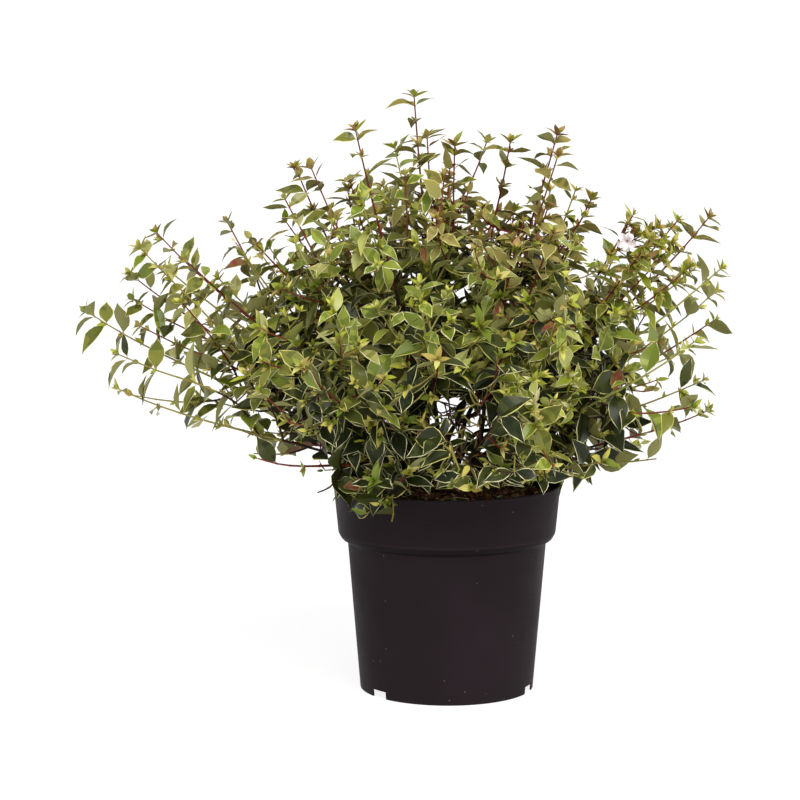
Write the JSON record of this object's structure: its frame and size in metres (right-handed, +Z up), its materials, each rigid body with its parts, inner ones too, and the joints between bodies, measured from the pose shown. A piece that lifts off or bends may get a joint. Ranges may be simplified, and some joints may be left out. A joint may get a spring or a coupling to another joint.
{
  "type": "potted abelia",
  "caption": "Bushy variegated garden shrub with arching leafy shoots, standing in a round tapered nursery pot of compost.",
  "frame": {"origin": "centre of the flat underside of the pot", "axes": "+Z up along the axis of the pot; -Y towards the front as pictured; +X to the right as pictured"},
  "size_m": [0.6434, 0.527, 0.5827],
  "materials": {
    "pot_plastic": "matte charcoal moulded plastic",
    "compost": "rough moist bark compost",
    "bark": "thin red-brown bark",
    "foliage": "satin olive-green leaves with pale margins"
  },
  "bodies": {
    "root": {"bough_back": "bark", "bough_back_left": "bark", "bough_back_left_high": "bark", "bough_back_right": "bark", "bough_front": "bark", "bough_front_high": "bark", "bough_front_left": "bark", "bough_left_far": "bark", "bough_left_high": "bark", "bough_left_low": "bark", "bough_low_right": "bark", "bough_right": "bark", "bough_right_front": "bark", "bough_right_high": "bark", "bough_top": "bark", "bough_upper_back": "bark", "bough_upper_back_right": "bark", "bough_upper_front_left": "bark", "bough_upper_front_right": "bark", "bough_upper_left": "bark", "bough_upper_right": "bark", "compost": "compost", "foliage_back": "foliage", "foliage_back_left": "foliage", "foliage_back_left_high": "foliage", "foliage_back_right": "foliage", "foliage_front": "foliage", "foliage_front_high": "foliage", "foliage_front_left": "foliage", "foliage_left_far": "foliage", "foliage_left_high": "foliage", "foliage_left_low": "foliage", "foliage_low_back": "foliage", "foliage_low_back_left": "foliage", "foliage_low_back_right": "foliage", "foliage_low_front_left": "foliage", "foliage_low_front_right": "foliage", "foliage_low_left": "foliage", "foliage_low_right": "foliage", "foliage_right": "foliage", "foliage_right_front": "foliage", "foliage_right_high": "foliage", "foliage_top": "foliage", "foliage_upper_back": "foliage", "foliage_upper_back_right": "foliage", "foliage_upper_front_left": "foliage", "foliage_upper_front_right": "foliage", "foliage_upper_left": "foliage", "foliage_upper_right": "foliage", "pot": "pot_plastic", "stem_back_left": "bark", "stem_back_right": "bark", "stem_front": "bark", "stem_left": "bark", "stem_right": "bark"}
  },
  "joints": []
}
